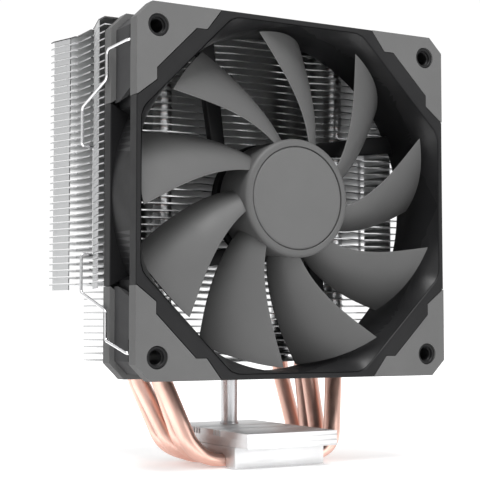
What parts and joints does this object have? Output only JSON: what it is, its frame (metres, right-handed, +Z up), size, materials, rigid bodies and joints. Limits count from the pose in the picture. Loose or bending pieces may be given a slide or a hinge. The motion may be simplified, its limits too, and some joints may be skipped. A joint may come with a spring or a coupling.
{
  "type": "cpu tower cooler",
  "caption": "Tower heatsink for a processor: U-shaped heat pipes rise from a block into stacked fins, with an axial fan held on by wire clips.",
  "frame": {"origin": "centre of the base's contact face, which rests on the processor", "axes": "+Z up along the tower, -Y the side the fan faces, +X to the right seen from the fan"},
  "size_m": [0.1236, 0.0733, 0.1521],
  "materials": {
    "frame": "satin moulded black",
    "pad": "matt grey rubber",
    "blade": "satin grey",
    "hub": "satin grey",
    "steel": "bright",
    "magnet": "matt",
    "bronze": "sintered",
    "winding": "enamelled copper wire",
    "board": "solder mask",
    "label": "blank label",
    "base": "milled",
    "copper": "bare copper, satin",
    "fin": "thin rolled sheet",
    "wire": "bright spring wire"
  },
  "bodies": {
    "cooler": {"base_lower_block": "base", "base_upper_block": "base", "heat_pipe_1": "copper", "heat_pipe_2": "copper", "heat_pipe_3": "copper", "heat_pipe_4": "copper", "support_post": "steel", "fin_stack_upper": "fin", "fin_stack_lower": "fin", "fan_frame": "frame", "corner_pad_top_right": "pad", "corner_pad_top_left": "pad", "corner_pad_bottom_left": "pad", "corner_pad_bottom_right": "pad", "bearing_sleeve": "bronze", "shaft_clip": "hub", "stator_core": "steel", "stator_winding_1": "winding", "stator_winding_2": "winding", "stator_winding_3": "winding", "stator_winding_4": "winding", "motor_board": "board", "rear_label": "label"},
    "rotor": {"impeller": "blade", "hub_badge": "hub", "rotor_shaft": "steel", "rotor_yoke": "steel", "magnet_ring": "magnet"},
    "clip_left": {"wire_clip_left": "wire"},
    "clip_right": {"wire_clip_right": "wire"}
  },
  "joints": [
    {"name": "fan_spin", "type": "hinge", "parent": "cooler", "child": "rotor", "pos_m": [0, -0.033, 0.09], "axis": [0, 1, 0], "continuous": true},
    {"name": "clip_left_release", "type": "hinge", "parent": "cooler", "child": "clip_left", "pos_m": [-0.0599, -0.0261, 0.09], "axis": [0, 0, 1], "range_deg": [0, 40]},
    {"name": "clip_right_release", "type": "hinge", "parent": "cooler", "child": "clip_right", "pos_m": [0.0599, -0.0261, 0.09], "axis": [0, 0, -1], "range_deg": [0, 40]}
  ]
}
